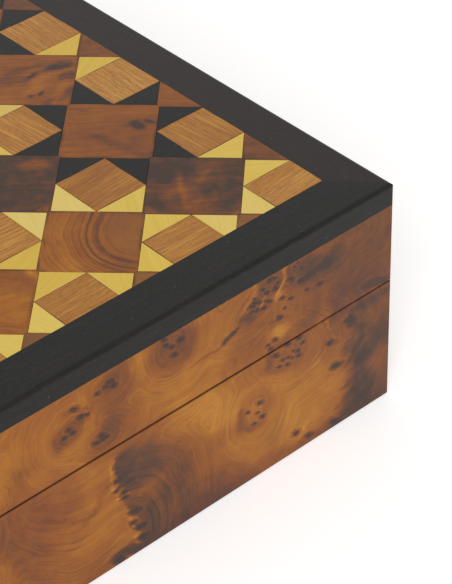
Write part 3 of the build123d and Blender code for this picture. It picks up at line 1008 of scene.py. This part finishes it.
# Squares right of the diagonal lie with the grain along the front, the others with it front to back.
upright = n.math("GREATER_THAN", n.plus(cell["Row"], cell["Column"]), 0.5)
turn = n.plus(n.times(upright, radians(90)), n.times_plus(green, 0.24, -0.10))
grain = n.group("straight_grain", {"Position": own_piece(n, cell, turn, 300.0), "Line": 0.46, "Pore": 0.16})
tone = n.times_plus(n.minus(grain["Streak"], 0.5), 1.5, 0.57)
tone = n.times_plus(n.minus(grain["Cloud"], 0.5), 0.6, tone)
tone = n.times_plus(n.minus(red, 0.5), 0.28, tone)
tone = shaded(n, spread(n, place), tone, square_tones)
stops = [
    (0.00, shown(134, 76, 28)),
    (0.35, shown(160, 103, 38)),
    (0.70, shown(180, 123, 50)),
    (1.00, shown(196, 143, 68)),
]
wood = n.ramp(tone, stops)
wood = n.mix(n.times(grain["Pores"], 0.35), wood, shown(104, 62, 36))
wood = n.mix(n.times(grain["Lines"], 0.64), wood, shown(96, 48, 26))
n.feed(shader["Base Color"], glued(n, place, inside_square(n, cell), wood, 0.20, 0.85))
n.feed(shader["Roughness"], n.times_plus(grain["Pores"], 0.15, 0.32))
n.feed(shader["Normal"], pored(n, grain["Pores"], 0.02, 0.3))
shader["IOR"].default_value = varnish_ior
dress(material, "straight_grain_squares")

# %% [markdown]
# ## Burl tiles
#
# The burl squares are cut from the same wood as the walls, so they take the same figure, each from its own
# place in it. The ones nearest the corner are darkened and lightened one by one, and one of them isn't burl
# at all but plain wood from near the middle of a young trunk, with its growth rings in arcs.

# %% Shades of the burl tiles nearest the front right corner: right and back from the middle of the box
corner_shades = [
    (108, -110, 19, 19, 0, 0.30, 0.15),
    (109, -100, 9, 6, 0, 0.16, 0.6),
    (98, -113, 4, 8, 20, 0.10, 0.6),
    (112, -119, 8, 5, 30, 0.10, 0.6),
    (103.0, -112, 4.0, 9, -25, -0.14, 0.8),
    (101.4, -114, 0.9, 5, -22, -0.10, 0.8),
    (104.2, -109.8, 0.9, 5, -34, -0.10, 0.8),
    (106.6, -106, 0.8, 3.4, -48, -0.14, 0.8),
    (117, -105, 3, 4, 0, -0.10, 0.6),
    (112.5, -109, 3.4, 1.1, 24, -0.16, 0.7),
    (106, -117.5, 4.2, 1.1, -24, -0.14, 0.7),
    (99.5, -108.5, 2.6, 1.6, 30, -0.14, 0.7),
    (114, -115, 2.8, 1.0, 60, -0.12, 0.7),
    (104.5, -102.5, 2.2, 1.4, -20, 0.20, 0.7),
    (111.5, -104, 2.8, 1.2, 10, 0.16, 0.7),
    (94.5, -110, 2.4, 2.6, 0, 0.16, 0.7),
    (109, -122, 3.4, 1.6, 10, 0.14, 0.7),
    (108, -74, 19, 19, 0, -0.02, 0.15),
    (108, -66, 8, 6, 0, -0.06, 0.6),
    (115.6, -77.5, 1.8, 2.5, 10, 0.50, 0.5),
    (115.6, -78.0, 3.4, 4.4, 10, 0.10, 0.4),
    (118, -73, 4, 3, -40, -0.08, 0.6),
    (100, -75, 6, 8, 0, 0.08, 0.6),
    (119.8, -79, 0.9, 2.0, 30, 0.45, 0.6),
    (104.5, -79, 1.4, 7, 15, 0.14, 0.8),
    (110, -84, 5, 3, 40, 0.10, 0.8),
    (72, -74, 18, 18, 0, 0.42, 0.15),
    (82.5, -72.5, 4, 2.2, -40, -0.32, 0.6),
    (108, -38, 19, 19, 0, -0.06, 0.15),
    (116, -37.3, 2.4, 1.4, 0, 0.30, 0.5),
    (119.8, -38.3, 3.4, 2.4, -20, 0.42, 0.5),
    (117.3, -44.5, 3.0, 2.0, 10, 0.36, 0.5),
    (105.8, -46.2, 1.1, 0.9, 20, 0.50, 0.5),
    (103.4, -45, 0.8, 0.8, 0, 0.40, 0.5),
    (104, -51, 3, 1.0, 0, 0.25, 0.6),
    (109.5, -53, 3, 1.0, 0, 0.20, 0.6),
    (113, -50.5, 2.2, 1.2, 30, 0.25, 0.6),
    (109, -37.2, 1.6, 0.8, 0, 0.30, 0.6),
    (110.5, -40, 4, 1.6, 0, -0.16, 0.6),
    (106, -43, 4, 1.6, 0, -0.14, 0.6),
    (111, -48.5, 4, 1.5, 20, -0.12, 0.6),
    (109, -37.4, 9, 1.5, -8, 0.20, 0.7),
    (104, -33, 6, 2.0, 10, 0.20, 0.7),
    (113, -34, 4, 1.4, -20, 0.20, 0.7),
    (131, -110, 5, 8, 0, 0.16, 0.5),
    (72, -131, 5, 4, 0, -0.08, 0.5),
    (108, -131, 5, 4, 0, -0.16, 0.5),
    (131, -38, 5, 8, 0, 0.14, 0.5),
]

# Growth rings of the tile at (72, -110): radius, half width and how dark
ring_lines = [
    (10.4, 0.6, 0.16),
    (13.3, 1.5, 0.30),
    (15.9, 0.5, 0.34),
    (17.5, 0.45, 0.30),
    (19.4, 0.4, 0.24),
]

print(f"{len(corner_shades)} shades near the corner, {len(ring_lines)} growth rings")

# %% Tone of the burl tiles
material, n, shader = new_material("burl_tiles")
place = millimetres(n)
cell = tile_cell(n, place, pitch, 0)
red, green, _ = n.split(cell["Chance"])
own = own_piece(n, cell, n.times(green, 2 * pi), 900.0)
scatter = n.group("scattered_clusters", {"Position": own, "Spacing": 30.0, "Reach": 6.0})

drift = n.shift(place, 6.0, 3.0, 4.0)
drifted = spread(n, n.vector("ADD", place, drift))
near_corner = n.step(reach_of(n, drifted, 100, -80, 62, 66), 1.05, 0.95)
tone = n.between(near_corner, n.times_plus(red, 0.32, 0.38), 0.53)
tone = shaded(n, drifted, tone, corner_shades)
print(f"tone of the burl tiles: {len(n.tree.nodes)} nodes")

# %% The tile with plain rings: arcs about one point that run on as straight lines up and to the right
ringed = n.step(reach_of(n, drifted, 72, -110.3, 19, 19), 1.15, 1.05)
tone = n.times_plus(ringed, -0.07, tone)
drifted_x, drifted_y, _ = n.split(n.vector("ADD", place, n.scaled(drift, 0.35)))
ring_middle_x, ring_middle_y = 85.0, -117.0
right, back = n.minus(drifted_x, ring_middle_x), n.minus(drifted_y, ring_middle_y)
onwards = n.times_plus(right, 0.8, n.times(back, 0.6))
sideways = n.times_plus(right, -0.6, n.times(back, 0.8))
radius = n.vector("LENGTH", n.joined(n.math("MINIMUM", onwards, 0.0), sideways))
dark_rings = ringed_by(n, radius, ring_lines)
faded = n.step(n.noise(place, 12.0, 1.0), 0.36, 0.56, 0.4, 1.0)
tone = n.times_plus(n.times(dark_rings, faded), ringed, tone)
tone = n.times_plus(n.times(n.step(radius, 17.0, 24.0), ringed), -0.16, tone)
inner = n.step(radius, 13.0, 8.0)
print(f"with plain rings: {len(n.tree.nodes)} nodes")

# %% Burl squares and the cut ones along the border
straight_flow = n.times_plus(drifted_x, 0.65, n.times(drifted_y, 0.76))
distance = n.between(near_corner, scatter["Distance"], straight_flow)
distance = n.between(ringed, distance, n.times(radius, 1.6))
eye = n.times_plus(near_corner, 6.0, scatter["Eye"])
shade = n.plus(n.between(near_corner, n.times(scatter["Shade"], 0.7), 0.0), tone)
values = {"Position": own, "Distance": distance, "Eye": eye, "Shade": shade}
values["Ring strength"] = n.plus(n.times(ringed, n.times_plus(inner, -0.9, 0.5)), 0.9)
burl = n.group("burl_figure", values)
# The cut pieces along the front came off a duller strip.
duller = n.step(drifted_y, -126.6, -127.8, 0.0, 0.55)
wood = n.mix(duller, burl["Color"], shown(122, 84, 38))
wood = n.mix(n.times(n.times(ringed, inner), 0.35), wood, shown(128, 84, 42))
n.feed(shader["Base Color"], glued(n, place, inside_diamond(n, cell), wood, 0.05, 0.55))
varnished(n, shader, place)
dress(material, "burl_squares", "burl_edge_pieces")

# %% [markdown]
# ## Lemonwood
#
# The pale points of the stars are lemonwood, which is so even that only a trace of its grain shows. One
# colour would look like plastic, so every triangle still has its own tone and its own direction, and the
# wood yellows where the finish pooled along the joint with the burl.

# %% Lemonwood triangles
material, n, shader = new_material("lemonwood")
place = millimetres(n)
cell = tile_cell(n, place, pitch / 4, pitch / 4, pitch / 2)
red, green, blue = n.split(cell["Chance"])
own = own_piece(n, cell, n.times(green, pi), 200.0)
grain = n.group("straight_grain", {"Position": own, "Line": 0.9, "Pore": 0.14})
tone = n.times_plus(n.minus(grain["Streak"], 0.5), 0.7, 0.5)
tone = n.times_plus(n.minus(red, 0.5), 0.5, tone, clamp=True)
wood = n.ramp(tone, [(0.0, shown(196, 157, 56)), (0.5, shown(211, 178, 73)), (1.0, shown(223, 198, 106))])
wood = n.mix(n.step(blue, 0.40, 0.95, 0.0, 0.26), wood, shown(220, 200, 138))
wood = n.mix(n.times(grain["Pores"], 0.12), wood, shown(160, 124, 58))
outwards = n.times(inside_diamond(n, tile_cell(n, place, pitch, 0)), -1.0)
wood = n.mix(n.step(outwards, 0.55, 0.10, 0.0, 0.6), wood, shown(158, 116, 38))
n.feed(shader["Base Color"], wood)
n.feed(shader["Roughness"], n.times_plus(grain["Pores"], 0.12, 0.32))
n.feed(shader["Normal"], pored(n, grain["Pores"], 0.015, 0.25))
shader["IOR"].default_value = varnish_ior
dress(material, "lemonwood_triangles")

# %% [markdown]
# ## Ebony
#
# Ebony is so dense that it is nearly black, with a brown streak here and there and pores too fine to feel.
# What the eye reads is the sheen of the wax. The strips lie with the grain along their length, so the front
# and back ones need the pattern turned from the side ones.

# %% Ebony materials
wax_ior = 1.28
speck_spacing = 5.0


def ebony(name, rows, dark, brown):
    """Ebony with its grain along the first row."""
    material, n, shader = new_material(name)
    place = millimetres(n, rows)
    grain = n.group("straight_grain", {"Position": place, "Line": 0.8, "Pore": 0.18})
    wood = n.mix(n.step(grain["Streak"], 0.48, 0.78), dark, brown)
    wood = n.mix(n.times(grain["Pores"], 0.6), wood, shown(58, 52, 47))
    specks = n.times(n.cells(place, 1 / speck_spacing), speck_spacing)
    dust = n.step(specks, 0.45, 0.10)
    wood = n.mix(n.times(dust, 0.35), wood, shown(110, 108, 102))
    n.feed(shader["Base Color"], wood)
    rough = n.times_plus(grain["Cloud"], 0.12, 0.30)
    n.feed(shader["Roughness"], n.times_plus(dust, 0.3, rough))
    n.feed(shader["Normal"], pored(n, grain["Pores"], 0.02, 0.4))
    shader["IOR"].default_value = wax_ior
    return material


along_front = ((1, 0, 0), (0, 1, 0), (0, 0, 1))
along_side = ((0, 1, 0), (-1, 0, 0), (0, 0, 1))
front_ebony = ebony("ebony_along_front", along_front, shown(21, 20, 19), shown(36, 32, 29))
side_ebony = ebony("ebony_along_side", along_side, shown(34, 28, 26), shown(44, 34, 29))
dress(front_ebony, "ebony_front_strip", "ebony_back_strip", "ebony_triangles")
dress(side_ebony, "ebony_left_strip", "ebony_right_strip")

# %% [markdown]
# ## Inside woods and the glue bed
#
# Liners, divider and boards are plain straight-grained wood, the boards paler than the liners. One material
# with the grain one way would have it run across some of them, so each direction of grain has its own.

# %% Liners and boards
def plain_wood(name, rows, stops, line=1.1):
    """A plain straight-grained wood with its grain along the first row."""
    material, n, shader = new_material(name)
    place = millimetres(n, rows)
    grain = n.group("straight_grain", {"Position": place, "Line": line, "Pore": 0.2})
    tone = n.times_plus(n.minus(grain["Streak"], 0.5), 1.5, 0.5)
    tone = n.times_plus(n.minus(grain["Cloud"], 0.5), 0.6, tone, clamp=True)
    wood = n.ramp(tone, stops)
    wood = n.mix(n.times(grain["Pores"], 0.3), wood, shown(92, 58, 36))
    n.feed(shader["Base Color"], wood)
    n.feed(shader["Roughness"], n.times_plus(grain["Pores"], 0.1, 0.46))
    n.feed(shader["Normal"], pored(n, grain["Pores"], 0.03, 0.4))
    return material


liner_stops = [(0.0, shown(150, 102, 60)), (0.5, shown(176, 128, 80)), (1.0, shown(196, 152, 104))]
board_stops = [(0.0, shown(160, 124, 86)), (0.5, shown(184, 150, 110)), (1.0, shown(204, 174, 134))]
dress(plain_wood("liner_along_front", along_front, liner_stops), "front_liner", "back_liner")
dress(plain_wood("liner_along_side", along_side, liner_stops), "left_liner", "right_liner", "divider")
dress(plain_wood("board_wood", along_front, board_stops, 1.6), "bottom_board", "lid_top_board")

# %% Glue bed under the tiles
material, n, shader = new_material("glue_bed")
place = millimetres(n)
n.feed(shader["Base Color"], n.mix(n.noise(place, 3.0, 3.0), shown(58, 36, 22), shown(104, 70, 42)))
n.feed(shader["Roughness"], n.times_plus(n.noise(place, 0.8), 0.2, 0.5))
dress(material, "marquetry_backing")

# %% [markdown]
# ## Brass
#
# Brass is a metal, so its colour is the colour of its reflection. An anisotropic shader would stretch the
# highlights of brushed metal, but it needs a tangent that these solids don't have, so fine scratches along
# the leaf spread the reflection, and a patchy tarnish dulls it.

# %% Brass of leaves, pins and screws
material, n, shader = new_material("hinge_brass")
place = millimetres(n)
scratches = n.noise(n.mapped(place, size=(0.05, 1, 1)), 0.12, 3.0)
tarnish = n.noise(place, 4.0, 4.0, 0.6)
n.feed(shader["Base Color"], n.mix(n.step(tarnish, 0.42, 0.72), shown(214, 178, 104), shown(164, 122, 62)))
n.feed(shader["Roughness"], n.times_plus(tarnish, 0.22, n.times_plus(scratches, 0.16, 0.14)))
n.feed(shader["Normal"], bump(n, scratches, 0.01, 0.3))
shader["Metallic"].default_value = 1.0
hinge_parts = ("base_leaf", "lid_leaf", "pin")
brass_nodes = [f"{side}_hinge_{part}" for side in ("left", "right") for part in hinge_parts]
dress(material, *brass_nodes, "base_hinge_screws", "lid_hinge_screws")

# %% [markdown]
# ## Baize
#
# Baize is a felted wool cloth, about a millimetre thick, cut to the floor of each compartment and to the
# hollow of the lid and glued down. It is laid flat on wood, so a cloth simulation would only give the flat
# sheet back. What makes it cloth are its rounded cut edge, the slight rise and fall of felt over the glue,
# and its nap.

# %% A sheet of felt
def felt_sheet(name, low, high, faces_up, rise=0.00010, round_over=0.0009, step=0.0030):
    """A closed sheet between two corners, on a grid of places (x, y). With d the distance to the nearest cut
    edge, its free side stands at thickness * (0.3 + 0.7 * sqrt(1 - (1 - min(d / r, 1))^2)), where r is the
    rounding, less a gentle swell: a product of slow sines that fades out in the last centimetre before the
    edge. Its other side is flat."""
    near_edge = round_over * np.array([0.0, 0.08, 0.25, 0.55, 1.0])
    fade = 0.01
    kept_at_edge = 0.3
    axes = []
    for start, end in ((low[0], high[0]), (low[1], high[1])):
        count = round((end - start - 2 * round_over) / step)
        middle = np.linspace(start + round_over, end - round_over, count + 1)[1:-1]
        axes.append(np.concatenate([start + near_edge, middle, end - near_edge[::-1]]))
    x, y = np.meshgrid(*axes, indexing="ij")
    edge = np.minimum.reduce([x - low[0], high[0] - x, y - low[1], high[1] - y])
    thickness = high[2] - low[2]
    rounding = np.sqrt(1 - (1 - np.clip(edge / round_over, 0, 1)) ** 2)
    waves = np.sin(x * 71 + 3 * np.sin(y * 23)) * np.sin(y * 58 + x * 17)
    swell = rise * np.clip(edge / fade, 0, 1) * (1 + waves)
    free = thickness * (kept_at_edge + (1 - kept_at_edge) * rounding) - swell
    top = low[2] + free if faces_up else high[2] - free
    flat = np.full_like(x, low[2] if faces_up else high[2])
    corners = np.arange(x.size).reshape(x.shape)
    rim = np.concatenate([corners[:-1, 0], corners[-1, :-1], corners[:0:-1, -1], corners[0, :0:-1]])
    following = np.roll(rim, -1)
    grid = (corners[:-1, :-1], corners[1:, :-1], corners[1:, 1:], corners[:-1, 1:])
    quad = np.stack([part.ravel() for part in grid], axis=1)
    wall = np.stack([following, rim, rim + corners.size, following + corners.size], axis=1)
    faces = np.concatenate([quad, quad[:, ::-1] + corners.size, wall])
    if not faces_up:
        faces = faces[:, ::-1]
    points = np.stack([np.concatenate([part.ravel(), part.ravel()]) for part in (x, y)], axis=1)
    heights = np.concatenate([top.ravel(), flat.ravel()])
    mesh = bpy.data.meshes.new(name)
    mesh.from_pydata(np.column_stack([points, heights]), [], faces)
    mesh.shade_smooth()
    piece = bpy.data.objects.new(name, mesh)
    bpy.context.scene.collection.objects.link(piece)
    print(f"{name}: {len(points)} points, {thickness * mm:.1f} mm thick")
    return piece

# %% Baize material
baize, n, shader = new_material("green_baize")
place = millimetres(n)
fibre = n.noise(place, 0.35, 4.0, 0.75)
tuft = n.noise(place, 2.4, 3.0, 0.6)
wool = n.mix(n.step(fibre, 0.3, 0.7), shown(24, 62, 40), shown(50, 98, 62))
wool = n.mix(n.times(n.step(tuft, 0.45, 0.7), 0.35), wool, shown(36, 78, 50))
n.feed(shader["Base Color"], wool)
n.feed(shader["Roughness"], n.times_plus(fibre, 0.1, 0.88))
n.feed(shader["Normal"], bump(n, n.times_plus(tuft, 0.5, fibre), 0.25, 0.8))
shader["Sheen Weight"].default_value = 0.35
shader["Sheen Roughness"].default_value = 0.5
print(f"{baize.name}: {len(n.tree.nodes)} nodes")

# %% Sheets of baize in their places
sheets = {
    "left_floor_baize": ("base", "bottom_board", True, "laid"),
    "right_floor_baize": ("base", "bottom_board", True, "laid"),
    "lid_baize": ("lid", "lid_top_board", False, "stretched"),
}
for node, (body, board, faces_up, held) in sheets.items():
    low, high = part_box(node)
    cloth = felt_sheet(f"{node}_cloth", low, high, faces_up)
    cloth.data.materials.append(baize)
    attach(cloth, body)
    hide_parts(node)
    flat = (high.x - low.x, high.y - low.y)

# %% [markdown]
# ## Light, floor and white surround
#
# Soft light from all round, with one large lamp over the left shoulder, shows figure without glare. An
# image of a studio could light it too, but a plain white surround adds no reflections of its own. Lamp and
# surround are set so that a white card would render just about white. Rays from the camera, and those that
# a reflection sends on, see a surround that is wholly white, and the floor gives off a little light to
# them, so that it fades into it.

# %% Floor
def seen_directly(n):
    """1 on rays from the camera and on those that a reflection or clear glass sends on, and 0 on the rest."""
    rays = n.add("ShaderNodeLightPath", {}, {}).node.outputs
    sent_on = n.math("MAXIMUM", rays["Is Glossy Ray"], rays["Is Transmission Ray"])
    return n.math("MAXIMUM", rays["Is Camera Ray"], sent_on)


floor_half = 3.0
mesh = bpy.data.meshes.new("floor")
floor_corners = [(x * floor_half, y * floor_half, 0) for x, y in ((-1, -1), (1, -1), (1, 1), (-1, 1))]
mesh.from_pydata(floor_corners, [], [(0, 1, 2, 3)])
floor = bpy.data.objects.new("floor", mesh)
bpy.context.scene.collection.objects.link(floor)

paper, n, shader = new_material("floor_paper")
shader["Base Color"].default_value = (0.86, 0.86, 0.86, 1)
shader["Roughness"].default_value = 0.9
shader["Emission Color"].default_value = (1, 1, 1, 1)
# Far from the lamp the paper gives off a little more, so that its edge fades into the white.
from_middle = n.vector("LENGTH", n.add("ShaderNodeTexCoord", {}, {}, output=3))
given_off = n.step(from_middle, 0.6, 2.2, 0.30, 0.48)
n.feed(shader["Emission Strength"], n.times(seen_directly(n), given_off))
floor.data.materials.append(paper)
print(f"floor {2 * floor_half} m wide")

# %% World
world = bpy.data.worlds.new("white_surround")
bpy.context.scene.world = world
world.use_nodes = True
world.node_tree.nodes.clear()
n = Tree(world.node_tree)
light_level = 0.62
level = n.straight(seen_directly(n), 0.0, 1.0, light_level, 1.0)
background = n.add("ShaderNodeBackground", {}, [(1.0, 1.0, 1.0, 1.0), level])
surface = n.tree.nodes.new("ShaderNodeOutputWorld")
n.feed(surface.inputs["Surface"], background)
print(f"the surround lights the box at {light_level} of white")

# %% Lamps
def soft_lamp(name, place, aim, size, watts):
    """A square lamp that faces the point it is aimed at."""
    data = bpy.data.lights.new(name, "AREA")
    data.size = size
    data.energy = watts
    lamp = bpy.data.objects.new(name, data)
    towards = Vector(aim) - Vector(place)
    turned = towards.to_track_quat("-Z", "Y").to_matrix().to_4x4()
    lamp.matrix_world = Matrix.Translation(place) @ turned
    bpy.context.scene.collection.objects.link(lamp)
    print(f"{name}: {watts} W from {towards.length:.2f} m")


box_middle = (0.0, 0.0, box_height / 2)
soft_lamp("window_lamp", (-1.1, -1.5, 1.5), box_middle, 1.2, 30)
bpy.context.scene.view_settings.view_transform = "Standard"
